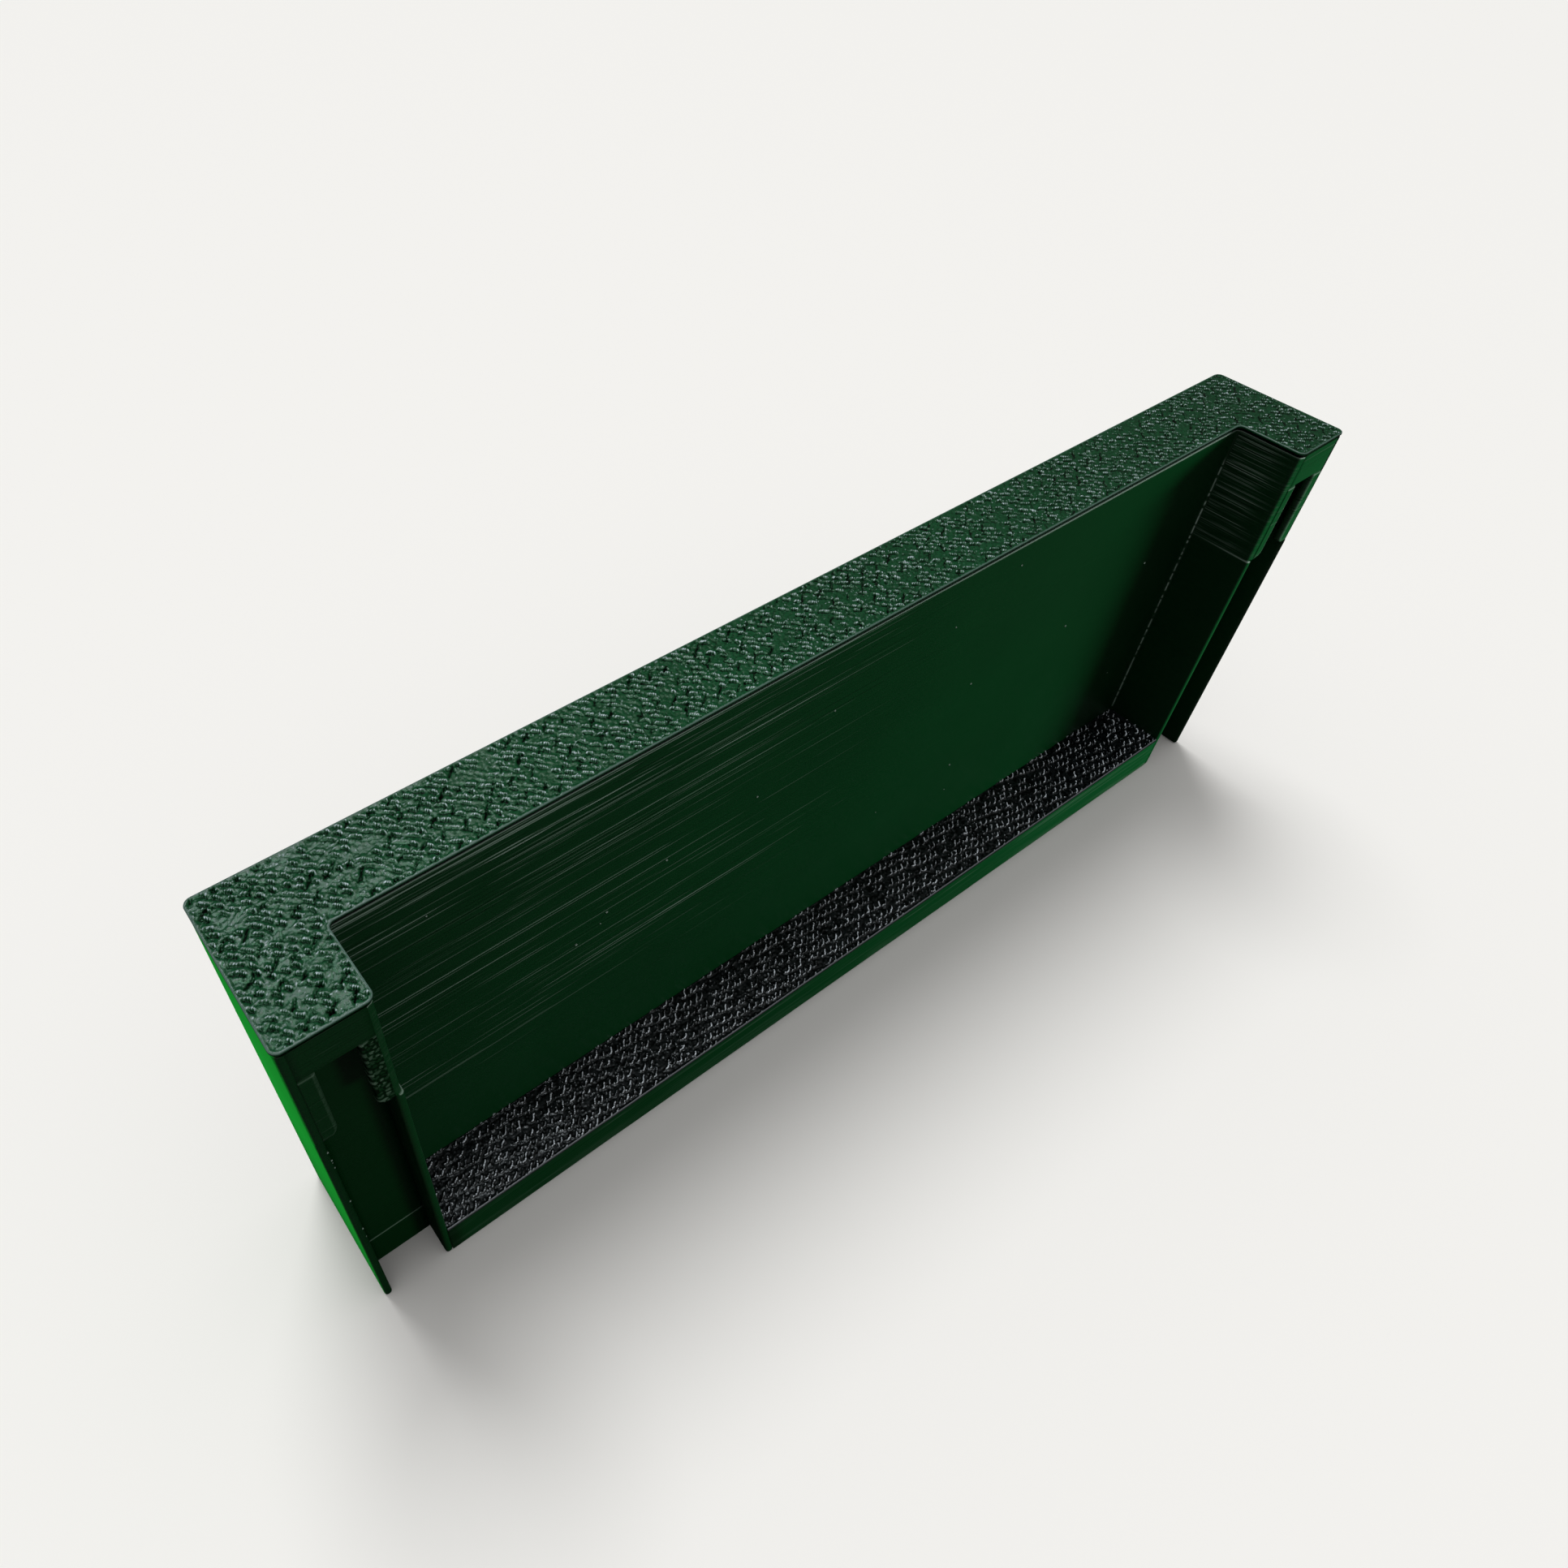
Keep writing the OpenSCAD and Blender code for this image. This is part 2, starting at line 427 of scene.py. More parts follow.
# A wall: the loop carried down through the layers. radii holds one array of corner radii for each number in
# the loop's which. strength says how much the layers wander, and shape may move the seen faces further out.
# The argument after shape adds painted highlights. Each of these is a number or a function of x, y and z.
# seam gives how far each row's start bulges in the hollow corners, and the bulge also adds a painted
# highlight there
def makeWall(name, node, loop, rows, radii, strength, foot=0.25, shape=0, paintedHighlight=0, seam=None):
    x, y = loop["base"][:, 0], loop["base"][:, 1]

    def overWall(value):
        return value(x[None, :], y[None, :], rows[:, None]) if callable(value) else value

    radius = np.stack([np.zeros(len(rows))] + radii, 1)[:, loop["which"]]
    out = layerOffset(rows, x, y, overWall(strength)) + overWall(shape)
    tone = paintedLedgeShading(out) + overWall(paintedHighlight)
    if seam is not None:
        bulge = seam(rows)[:, None] * loop["seam"][None, :]
        # the seam's bulge also gets a painted highlight
        out, tone = out + layerLook["seam"] * bulge, tone + bulge
    out = (out - edgePull(rows - rows[-1], foot)[:, None]) * loop["seen"][None, :]
    flat = loop["base"][None] + radius[..., None] * loop["arc"][None] + out[..., None] * loop["normal"][None]
    points = np.concatenate([flat, np.broadcast_to(rows[:, None, None], (*flat.shape[:2], 1))], -1)
    count = flat.shape[1]
    faces = skirtFaces(len(rows), count)
    faces += capFaces(points[0], 0, True) + capFaces(points[-1], count * (len(rows) - 1), False)
    makePiece(name, points.reshape(-1, 3), faces, layeredPlastic, node, tone)


# What all the plastics share. Scales are noise features per metre
sharedLook = {
    "ior": 1.46,
    "cloudScale": 28.0,
    "streakScale": (22, 22, 2500),
    "streakFade": (0.50, 0.74),  # noise between which a streak fades in
    # painted shade: the black that is put in creases and grooves where shade falls
    "creaseColour": (0.0004, 0.0008, 0.0005),
    "patchScale": 70.0,  # patches of other roughness
    "patchSpread": 0.16,
    "bounce": 0.3,  # share of its colour that the plastic gives to light that bounces on
}

# The plastics. Colours are linear, and the third colour of each is the colour of its painted highlights
# A darker copy of the top plate's plastic, for the walls: painted shade for the lesser light that falls on
# them
shadedPlasticLook = {
    "deep": (0.0006, 0.0130, 0.0030),
    "bright": (0.0008, 0.0195, 0.0045),
    "pale": (0.230, 0.300, 0.260),
    "roughness": 0.40,
    "gloss": 0.20,  # Specular IOR Level
    "streaks": 0.2,
    "meltScale": 1500,
    "meltHeight": 0.006,
}

grainPlasticLook = {
    "deep": (0.0008, 0.0240, 0.0065),
    "bright": (0.0016, 0.0430, 0.0125),
    "pale": (0.560, 0.640, 0.680),
    "roughness": 0.27,
    "gloss": 0.15,
    "streaks": 0.0,
    "meltScale": 3600,
    "meltHeight": 0.030,
}

# Near black and grey instead of green: painted shade for the tread's rough hollows
shadedTreadPlasticLook = {
    "deep": (0.0030, 0.0045, 0.0048),
    "bright": (0.0085, 0.0110, 0.0120),
    "pale": (0.800, 0.840, 0.880),
    "roughness": 0.28,
    "gloss": 0.40,
    "streaks": 0.0,
    "meltScale": 3200,
    "meltHeight": 0.015,
}


def newGroup(name, inputs, outputs):
    group = bpy.data.node_groups.new(name, "ShaderNodeTree")
    for label, kind, value in inputs:
        socket = group.interface.new_socket(label, in_out="INPUT", socket_type=kind)
        socket.default_value = value
    for label, kind in outputs:
        group.interface.new_socket(label, in_out="OUTPUT", socket_type=kind)
    return group, group.nodes.new("NodeGroupInput"), group.nodes.new("NodeGroupOutput")


def addNode(tree, kind, **values):
    node = tree.nodes.new(kind)
    for key, value in values.items():
        if key in node.inputs:
            node.inputs[key].default_value = value
        else:
            setattr(node, key, value)
    return node


# Pigment that clouds a little from place to place and varies in streaks along the layers. The shading value
# takes it to the painted highlight colour above 0, and to black painted shade below 0. The crease output is 1
# where the shade is painted black. Fed to Metallic, it also puts the gloss out there as painted shade,
# because a black metal reflects nothing
def makePigmentGroup():
    group, start, end = newGroup(
        "pigment",
        [("Deep", "NodeSocketColor", (0, 0, 0, 1)), ("Bright", "NodeSocketColor", (0, 0, 0, 1)),
         ("Pale", "NodeSocketColor", (0, 0, 0, 1)), ("Streaks", "NodeSocketFloat", 0.3),
         ("Tone", "NodeSocketFloat", 0.0)],
        [("Color", "NodeSocketColor"), ("Crease", "NodeSocketFloat")],
    )
    place = addNode(group, "ShaderNodeTexCoord")
    cloud = addNode(group, "ShaderNodeTexNoise", Scale=sharedLook["cloudScale"], Detail=3.0)
    squash = addNode(group, "ShaderNodeMapping")
    squash.inputs["Scale"].default_value = sharedLook["streakScale"]
    streak = addNode(group, "ShaderNodeTexNoise", Scale=1.0, Detail=2.0)
    sharpen = addNode(group, "ShaderNodeMapRange")
    sharpen.inputs["From Min"].default_value = sharedLook["streakFade"][0]
    sharpen.inputs["From Max"].default_value = sharedLook["streakFade"][1]
    scaled = addNode(group, "ShaderNodeMath", operation="MULTIPLY")
    total = addNode(group, "ShaderNodeMath", operation="ADD", use_clamp=True)
    base = addNode(group, "ShaderNodeMix", data_type="RGBA")
    highlighted = addNode(group, "ShaderNodeMix", data_type="RGBA")
    crease = addNode(group, "ShaderNodeMath", operation="MULTIPLY", use_clamp=True)
    crease.inputs[1].default_value = -1.0
    creaseShaded = addNode(group, "ShaderNodeMix", data_type="RGBA")
    creaseShaded.inputs["B"].default_value = (*sharedLook["creaseColour"], 1)
    link = group.links.new
    link(place.outputs["Object"], cloud.inputs["Vector"])
    link(place.outputs["Object"], squash.inputs["Vector"])
    link(squash.outputs["Vector"], streak.inputs["Vector"])
    link(streak.outputs["Fac"], sharpen.inputs["Value"])
    link(sharpen.outputs["Result"], scaled.inputs[0])
    link(start.outputs["Streaks"], scaled.inputs[1])
    link(cloud.outputs["Fac"], total.inputs[0])
    link(scaled.outputs["Value"], total.inputs[1])
    link(total.outputs["Value"], base.inputs["Factor"])
    link(start.outputs["Deep"], base.inputs["A"])
    link(start.outputs["Bright"], base.inputs["B"])
    link(start.outputs["Tone"], highlighted.inputs["Factor"])
    link(base.outputs["Result"], highlighted.inputs["A"])
    link(start.outputs["Pale"], highlighted.inputs["B"])
    link(start.outputs["Tone"], crease.inputs[0])
    link(crease.outputs["Value"], creaseShaded.inputs["Factor"])
    link(crease.outputs["Value"], end.inputs["Crease"])
    link(highlighted.outputs["Result"], creaseShaded.inputs["A"])
    link(creaseShaded.outputs["Result"], end.inputs["Color"])
    return group


# Fine unevenness of melted plastic: a height for a Bump node and a roughness that wanders with it
def makeMeltGroup():
    group, start, end = newGroup(
        "melt",
        [("Roughness", "NodeSocketFloat", 0.4), ("Spread", "NodeSocketFloat", 0.1),
         ("Scale", "NodeSocketFloat", 900.0)],
        [("Roughness", "NodeSocketFloat"), ("Height", "NodeSocketFloat")],
    )
    place = addNode(group, "ShaderNodeTexCoord")
    fine = addNode(group, "ShaderNodeTexNoise", Detail=4.0)
    wide = addNode(group, "ShaderNodeTexNoise", Scale=sharedLook["patchScale"], Detail=2.0)
    spread = addNode(group, "ShaderNodeMath", operation="MULTIPLY_ADD")
    centre = addNode(group, "ShaderNodeMath", operation="SUBTRACT")
    centre.inputs[1].default_value = 0.5
    link = group.links.new
    link(place.outputs["Object"], fine.inputs["Vector"])
    link(place.outputs["Object"], wide.inputs["Vector"])
    link(start.outputs["Scale"], fine.inputs["Scale"])
    link(wide.outputs["Fac"], centre.inputs[0])
    link(centre.outputs["Value"], spread.inputs[0])
    link(start.outputs["Spread"], spread.inputs[1])
    link(start.outputs["Roughness"], spread.inputs[2])
    link(spread.outputs["Value"], end.inputs["Roughness"])
    link(fine.outputs["Fac"], end.inputs["Height"])
    return group


# Light that bounces off the plastic is dimmed, so that the strongly lit end doesn't tint the floor
def makePlastic(name, look, pigment, melt):
    material = bpy.data.materials.new(name)
    material.use_nodes = True
    tree = material.node_tree
    shader = tree.nodes["Principled BSDF"]
    shader.inputs["IOR"].default_value = sharedLook["ior"]
    shader.inputs["Specular IOR Level"].default_value = look["gloss"]
    colour = addNode(tree, "ShaderNodeGroup", node_tree=pigment)
    for label in ("deep", "bright", "pale"):
        colour.inputs[label.capitalize()].default_value = (*look[label], 1)
    colour.inputs["Streaks"].default_value = look["streaks"]
    tone = addNode(tree, "ShaderNodeAttribute", attribute_name="tone")
    surface = addNode(tree, "ShaderNodeGroup", node_tree=melt)
    surface.inputs["Roughness"].default_value = look["roughness"]
    surface.inputs["Spread"].default_value = sharedLook["patchSpread"]
    surface.inputs["Scale"].default_value = look["meltScale"]
    bump = addNode(tree, "ShaderNodeBump")
    bump.inputs["Strength"].default_value = 1.0
    bump.inputs["Distance"].default_value = look["meltHeight"] * mm
    rays = addNode(tree, "ShaderNodeLightPath")
    bounce = addNode(tree, "ShaderNodeMix", data_type="RGBA", blend_type="MULTIPLY")
    bounce.inputs["B"].default_value = (*[sharedLook["bounce"]] * 3, 1)
    link = tree.links.new
    link(tone.outputs["Fac"], colour.inputs["Tone"])
    link(rays.outputs["Is Diffuse Ray"], bounce.inputs["Factor"])
    link(colour.outputs["Color"], bounce.inputs["A"])
    link(bounce.outputs["Result"], shader.inputs["Base Color"])
    link(colour.outputs["Crease"], shader.inputs["Metallic"])
    link(surface.outputs["Roughness"], shader.inputs["Roughness"])
    link(surface.outputs["Height"], bump.inputs["Height"])
    link(bump.outputs["Normal"], shader.inputs["Normal"])
    return material


# The floor is dimmer to the rays that gloss reflects, so that its glare doesn't wash out the green walls
def makeFloorMaterial(look):
    material = bpy.data.materials.new("paleFloor")
    material.use_nodes = True
    tree = material.node_tree
    shader = tree.nodes["Principled BSDF"]
    shader.inputs["Roughness"].default_value = look["roughness"]
    shader.inputs["Specular IOR Level"].default_value = 0.1
    rays = addNode(tree, "ShaderNodeLightPath")
    colour = addNode(tree, "ShaderNodeMix", data_type="RGBA")
    colour.inputs["A"].default_value = (*look["colour"], 1)
    colour.inputs["B"].default_value = (*look["glossColour"], 1)
    tree.links.new(rays.outputs["Is Glossy Ray"], colour.inputs["Factor"])
    tree.links.new(colour.outputs["Result"], shader.inputs["Base Color"])
    return material


def makeFloor(look):
    half = look["size"] / 2
    mesh = bpy.data.meshes.new("floor")
    corners = [(-half, -half, 0), (half, -half, 0), (half, half, 0), (-half, half, 0)]
    mesh.from_pydata(corners, [], [(0, 1, 2, 3)])
    mesh.materials.append(makeFloorMaterial(look))
    floor = bpy.data.objects.new("floor", mesh)
    bpy.context.scene.collection.objects.link(floor)


makeCamera(viewLook)
makeLights(lightLook)
makeFloor(floorLook)
pigmentGroup = makePigmentGroup()
meltGroup = makeMeltGroup()
layeredPlastic = makePlastic("layeredPlastic", shadedPlasticLook, pigmentGroup, meltGroup)
grainPlastic = makePlastic("grainPlastic", grainPlasticLook, pigmentGroup, meltGroup)
treadPlastic = makePlastic("treadPlastic", shadedTreadPlasticLook, pigmentGroup, meltGroup)
innerPlastic = makePlastic("innerPlastic", shadedPlasticLook, pigmentGroup, meltGroup)
print("camera, lights and materials made")


# The top plate: the U-shaped first layers, with the print bed's grain on top
plateLook = {
    "cell": 0.19,
    "cornerRadius": 1.1,
    "pocketCornerRadius": 1.0,
    "rowPitch": 1.03,
    "strokeLength": 1.9,
    "creasePitch": 2.06,
    "creaseLength": 3.9,
    "step": 0.16,  # height of a stroke's lip
    "lattice": 0.80,
    "rimWidth": 0.45,
    "foot": 0.12,  # how far the squashed first layers stand out
    "groove": 0.12,  # depth of the line under the plate
}


# Moves the points near a convex corner so that the square corner becomes a quarter circle
def roundCorner(x, y, cornerX, cornerY, radius):
    sx, sy = np.sign(cornerX), 1.0 if cornerY > pocketY else -1.0
    cx, cy = cornerX - sx * radius, cornerY - sy * radius
    dx, dy = (x - cx) * sx, (y - cy) * sy
    near = (dx > 0) & (dy > 0) & (dx <= radius + 1e-9) & (dy <= radius + 1e-9)
    factor = np.where(near, np.maximum(dx, dy) / np.maximum(np.hypot(dx, dy), 1e-9), 1)
    return np.where(near, cx + sx * dx * factor, x), np.where(near, cy + sy * dy * factor, y)


# The same for a corner that material surrounds: the pull fades out over three radii
def fillCorner(x, y, cornerX, cornerY, radius, sx):
    cx, cy = cornerX - sx * radius, cornerY - radius
    dx, dy = (x - cx) * sx, y - cy
    size = np.maximum(dx, dy)
    near = (dx > 0) & (dy > 0) & (size < 3 * radius)
    fade = np.clip((size - radius) / (2 * radius), 0, 1)
    factor = size / np.maximum(np.hypot(dx, dy), 1e-9)
    factor = np.where(near, factor + (1 - factor) * fade, 1)
    return np.where(near, cx + sx * dx * factor, x), np.where(near, cy + dy * factor, y)


# Rounds the two front corners of the arms that face the pocket
def roundArm(x, y, radius):
    for side in (-1, 1):
        cx, cy = side * (pocketX + radius), frontY + radius
        dx, dy = (cx - x) * side, cy - y
        near = (dx > 0) & (dy > 0) & (dx <= radius + 1e-9)
        factor = np.where(near, np.maximum(dx, dy) / np.maximum(np.hypot(dx, dy), 1e-9), 1)
        x, y = np.where(near, cx - side * dx * factor, x), np.where(near, cy - dy * factor, y)
    return x, y


# Rows of strokes: rows run along u, one every pitch of v, and each is a chain of strokes of the given
# length that starts a share of a stroke later than the row before. Gives the distance from the nearest
# row's stroke across it, the place along the stroke from 0 to 1, two random numbers of the stroke, and
# the number of the row
def strokes(u, v, pitch, length, stagger, wander, seed):
    chance = np.random.default_rng(seed).random((tableSize, tableSize, 3))
    row = np.floor(v / pitch + 0.5).astype(int)
    place = u / length + stagger * row
    number = np.floor(place).astype(int)
    own = chance[row % tableSize, number % tableSize]
    across = v - pitch * row - wander * (own[..., 2] - 0.5)
    return across, place - number, own[..., 0], own[..., 1], row


diagonal = 0.7071  # sine of 45 degrees


# Grain of the print bed: short wavy strokes with a raised lip behind a narrow crease, in rows along one
# diagonal, longer creases along the other, and pebbles over the rest. Gives height from 0 down, and a shading
# value: a painted highlight on each stroke's lip and on small specks, and painted shade in the creases, in
# the cuts and between the pebbles
def bedGrain(x, y):
    look = plateLook
    warp = 0.50 * (valueNoise(x / 2.7, y / 2.7, 21) - 0.5) + 0.32 * (valueNoise(x / 0.8, y / 0.8, 27) - 0.5)
    s, t = (x - y) * diagonal + warp, (x + y) * diagonal + 0.8 * warp
    across, place, chance, size, _ = strokes(s, t, look["rowPitch"], look["strokeLength"], 0.37, 0.40, 22)
    present = smoothStep(0.16, 0.34, chance) * (0.55 + 0.45 * size)
    window = smoothStep(0.0, 0.10, place) * smoothStep(0.98 - 0.40 * size, 0.86 - 0.40 * size, place)
    mask = present * window
    across = across + 0.22 * (2 * place - 0.8) ** 2 + 0.06 * np.sin(7 * place + 12 * chance)
    across = across + 0.7 * (size - 0.5) * (place - 0.4)
    lip = mask * smoothStep(-0.10, 0.06, across) * smoothStep(0.75, 0.12, across)
    crease = mask * np.exp(-((across + 0.23) / 0.15) ** 2)
    slit, along, luck, spare, _ = strokes(t, s, look["creasePitch"], look["creaseLength"], 0.5, 0.5, 24)
    slit = slit + 0.10 * np.sin(7 * along + 12 * luck)
    cut = np.exp(-(slit / 0.11) ** 2) * smoothStep(0.30, 0.45, luck)
    cut = cut * smoothStep(0.02, 0.12, along) * smoothStep(0.85 - 0.4 * spare, 0.70 - 0.4 * spare, along)
    first, second, owner = pebbles(s / look["lattice"], t / (0.62 * look["lattice"]), 0.85, 26)
    edge = smoothStep(0.0, 0.30, second - first)
    fine = valueNoise(x / 0.31, y / 0.31, 23) - 0.5
    height = look["step"] * (lip - 1.7 * crease - 1.5 * cut - 0.5)
    height = height + 0.10 * (edge - 1) * (0.3 + 0.7 * owner) + 0.05 * (owner - 1) + 0.06 * fine
    first, second, glint = pebbles(s / 0.46 + 7, t / 0.30 + 3, 1.0, 28)
    speck = smoothStep(0.78, 0.98, glint) * smoothStep(0.55, 0.15, first)
    # painted highlights on the lips and specks, and painted shade in creases, in cuts and between pebbles
    tone = 0.95 * mask * np.exp(-((across - 0.02) / 0.085) ** 2) + 0.35 * speck
    tone = tone - 2.0 * crease - 1.6 * cut - 0.55 * (1 - edge) * (0.4 + 0.6 * owner)
    return height, np.clip(tone, -1, 1)


# Grid places from one turn of an outline to the next, without the last
def gridSteps(start, end):
    steps = np.abs(np.subtract(end, start)).max()
    return np.array(start) + np.outer(np.arange(steps), np.sign(np.subtract(end, start)))


def makeTopPlate():
    look = plateLook
    armCells = round((endX - pocketX) / look["cell"])
    pocketCells = round(2 * pocketX / look["cell"])
    frontCells = round((pocketY - frontY) / look["cell"])
    backCells = round((rearY - pocketY) / look["cell"])
    xs = np.concatenate([np.linspace(-endX, -pocketX, armCells + 1),
                         np.linspace(-pocketX, pocketX, pocketCells + 1)[1:],
                         np.linspace(pocketX, endX, armCells + 1)[1:]])
    ys = np.concatenate([np.linspace(frontY, pocketY, frontCells + 1),
                         np.linspace(pocketY, rearY, backCells + 1)[1:]])
    x, y = np.meshgrid(xs, ys, indexing="ij")
    i, j = np.meshgrid(np.arange(len(xs) - 1), np.arange(len(ys) - 1), indexing="ij")
    right = armCells + pocketCells
    keep = ~((i >= armCells) & (i < right) & (j < frontCells))
    # distance to the nearest edge of the U
    edge = np.minimum(np.minimum(endX - np.abs(x), rearY - y), np.where(np.abs(x) >= pocketX, y - frontY, 99))
    toPocket = np.hypot(np.maximum(np.abs(x) - pocketX, 0), np.maximum(y - pocketY, 0))
    edge = np.minimum(edge, toPocket)
    height, tone = bedGrain(x, y)
    inside = smoothStep(0.12, look["rimWidth"], edge)
    z = topZ + height * inside - 0.05 * smoothStep(0.3, 0.0, edge)
    # a faint painted highlight along the rim
    tone = tone * inside + 0.10 * smoothStep(0.25, 0.05, edge)
    for side in (-1, 1):
        x, y = roundCorner(x, y, side * endX, rearY, look["cornerRadius"])
        x, y = roundCorner(x, y, side * endX, frontY, look["cornerRadius"])
        x, y = fillCorner(x, y, side * pocketX, pocketY, look["pocketCornerRadius"], side)
    x, y = roundArm(x, y, look["cornerRadius"])
    used = np.zeros(x.shape, bool)
    for di in (0, 1):
        for dj in (0, 1):
            used[i[keep] + di, j[keep] + dj] = True
    index = np.full(x.shape, -1)
    index[used] = np.arange(used.sum())
    a, b = i[keep], j[keep]
    faces = np.stack([index[a, b], index[a + 1, b], index[a + 1, b + 1], index[a, b + 1]], -1).tolist()
    top = np.stack([x[used], y[used], z[used]], -1)
    # the plate's outline through the grid's own points, anticlockwise
    m, n = len(xs) - 1, len(ys) - 1
    turns = [(0, 0), (armCells, 0), (armCells, frontCells), (right, frontCells),
             (right, 0), (m, 0), (m, n), (0, n)]
    around = np.concatenate([gridSteps(a, b) for a, b in zip(turns, turns[1:] + turns[:1])])
    outline = index[around[:, 0], around[:, 1]]
    rim = top[outline]
    tangent = np.roll(rim, -1, 0)[:, :2] - np.roll(rim, 1, 0)[:, :2]
    normal = np.stack([tangent[:, 1], -tangent[:, 0]], -1)
    normal /= np.linalg.norm(normal, axis=1)[:, None]
    # down the edge: rounded rim, squashed first layers, then the groove under them
    foot, groove = look["foot"], look["groove"]
    # the third number of each row is its painted shading: a faint painted highlight on the rim, and painted
    # shade in the groove
    profile = [(-0.10, 0.6 * foot, 0.1), (-0.22, foot, 0.0), (-0.42, 0.9 * foot, -0.3), (-0.58, 0.0, -1.0),
               (-0.72, -groove, -1.0), (wallTop - topZ, -groove, -1.0)]
    rows = [np.column_stack([rim[:, :2] + out * normal, np.full(len(rim), topZ + drop)])
            for drop, out, t in profile]
    paintedShadingValues = np.concatenate([tone[used]] + [np.full(len(rim), t) for drop, out, t in profile])
    count = len(rim)
    firstRow = len(top)
    points = np.concatenate([top, *rows])
    k = np.arange(count)
    n = (k + 1) % count
    faces += np.stack([outline, firstRow + k, firstRow + n, outline[n]], -1).tolist()
    faces += skirtFaces(len(rows), count, firstRow)
    faces += capFaces(rows[-1], firstRow + count * (len(rows) - 1), False)
    makePiece("topPlate", points, faces, grainPlastic, "top_plate", paintedShadingValues)


makeTopPlate()


# The floor's tread: what the supports under the pocket left on top of the floor block
treadLook = {
    "cell": 0.17,
    "depth": 0.55,  # thickness of the tread over the block
    "rowPitch": 1.045,
    "loopLength": 2.25,
    "hook": 0.75,  # how far a loop's start hooks back
    "height": 0.42,
    "rimWidth": 0.5,
}

# Sagging strands of the first bridged layer: rows along one diagonal, each a chain of loops that start with a
# hook, every other row fainter, with loose specks between them. Gives height and a shading value: painted
# highlights on the strands and specks, and painted shade over the rest, darkest in the low places
def treadHeight(x, y):
    look = treadLook
    warp = 0.7 * (valueNoise(x / 3.3, y / 3.3, 31) - 0.5)
    u, v = (x + y) * diagonal + warp, (y - x) * diagonal + warp
    strand = np.zeros(x.shape)
    for shift in (0, 1):
        hooked = look["hook"] * shift
        across, place, chance, size, row = strokes(
            u, v - hooked, look["rowPitch"], look["loopLength"], 0.333, 0.25, 33)
        hook = look["hook"] * np.clip(1 - place / 0.20, 0, 1) ** 1.5
        far = across + hooked - hook + 0.06 * np.sin(11 * place + 12 * chance)
        strong = np.where(row % 2 == 0, 1.0, 0.8)
        window = smoothStep(0.0, 0.05, place) * smoothStep(0.62 + 0.3 * size, 0.50 + 0.3 * size, place)
        window = window * strong * smoothStep(0.08, 0.25, chance)
        strand = np.maximum(strand, np.exp(-(far / 0.13) ** 2) * window)
    first, second, owner = pebbles(x / 0.36, y / 0.36, 1.0, 34)
    speck = np.clip(1 - first / 0.45, 0, 1) * smoothStep(0.45, 0.9, owner)
    fine = valueNoise(x / 0.36, y / 0.36, 35)
    height = look["height"] * (strand + 0.5 * speck + 0.15 * fine - 0.55)
    # painted highlights on strands and specks, and painted shade elsewhere, darkest where the fine noise is
    # low
    tone = 1.5 * strand ** 1.7 + 1.4 * speck ** 2 - 0.30 - 0.5 * smoothStep(0.65, 0.25, fine)
    return height, np.clip(tone, -1, 1)


def makeTread():
    look = treadLook
    nx = round(2 * pocketX / look["cell"])
    ny = round((pocketY - frontY) / look["cell"])
    xs, ys = np.linspace(-pocketX, pocketX, nx + 1), np.linspace(frontY, pocketY, ny + 1)
    x, y = np.meshgrid(xs, ys, indexing="ij")
    front = y - frontY
    edge = np.minimum(front, np.minimum(pocketX - np.abs(x), pocketY - y) + 0.35)
    height, tone = treadHeight(x, y)
    inside = smoothStep(0.15, look["rimWidth"], edge)
    z = floorZ + height * inside - edgePull(front, 0.25)
    # and a painted highlight along the front edge
    tone = tone * inside + 0.25 * np.exp(-((front - 0.12) / 0.08) ** 2)
    index = np.arange(x.size).reshape(x.shape)
    quads = np.stack([index[:-1, :-1], index[1:, :-1], index[1:, 1:], index[:-1, 1:]], -1)
    outline = np.concatenate([index[:-1, 0], index[-1, :-1], index[:0:-1, -1], index[0, :0:-1]])
    top = np.stack([x, y, z], -1).reshape(-1, 3)
    low = top[outline].copy()
    low[:, 2] = floorZ - look["depth"]
    count, first = len(outline), len(top)
    k = np.arange(count)
    n = (k + 1) % count
    faces = quads.reshape(-1, 4).tolist()
    faces += np.stack([outline, first + k, first + n, outline[n]], -1).tolist()
    faces += capFaces(low, first, False)
    paintedShadingValues = np.concatenate([tone.ravel(), np.zeros(count)])
    makePiece("floorTread", np.concatenate([top, low]), faces, treadPlastic, "floor_block",
              paintedShadingValues)


# The floor block under the tread
blockLook = {
    "edgeRadius": 0.45,
    "columns": 60,
    "streaks": 0.30,
}


def makeFloorBlock():
    top = floorZ - treadLook["depth"]
    loop = joinLoop([
        run((-pocketX, frontY), (pocketX, frontY), blockLook["columns"], (0, -1), True),
        run((pocketX, frontY), (pocketX, pocketY), 3, (1, 0), False, "end"),
        run((pocketX, pocketY), (-pocketX, pocketY), 3, (0, 1), False, "end"),
    ])
    makeWall("floorBlock", "floor_block", loop, beadRows(0, top), [], blockLook["streaks"],
             foot=blockLook["edgeRadius"])


makeTread()
makeFloorBlock()
print("floor made")


